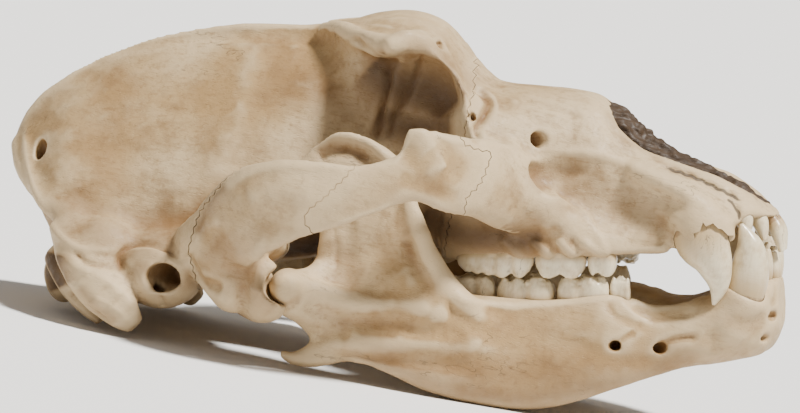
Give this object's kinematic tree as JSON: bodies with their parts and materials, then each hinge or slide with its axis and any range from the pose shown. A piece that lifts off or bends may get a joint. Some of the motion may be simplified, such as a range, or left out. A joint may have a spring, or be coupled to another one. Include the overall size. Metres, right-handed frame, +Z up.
{
  "type": "cave bear skull",
  "caption": "Life-size cave bear skull with its lower jaw closed, bare fossil bone with ivory teeth, resting on the jaw.",
  "frame": {"origin": "centre of the bounding box's base, on the surface that the lower jaw stands on", "axes": "+X towards the nose, -Y the animal's right side, +Z up"},
  "size_m": [0.479, 0.2954, 0.2167],
  "materials": {
    "bone": "dry matt fossil bone, ochre stained in the hollows and paler on worn edges",
    "enamel": "aged ivory enamel with a soft gloss, brown towards the roots"
  },
  "bodies": {
    "root": {"braincase": "bone", "face": "bone", "temple_right": "bone", "temple_left": "bone", "cheekbone_right": "bone", "cheekbone_left": "bone", "jaw_right": "bone", "jaw_left": "bone", "upper_canine_right": "enamel", "upper_canine_left": "enamel", "lower_canine_right": "enamel", "lower_canine_left": "enamel"}
  },
  "joints": []
}
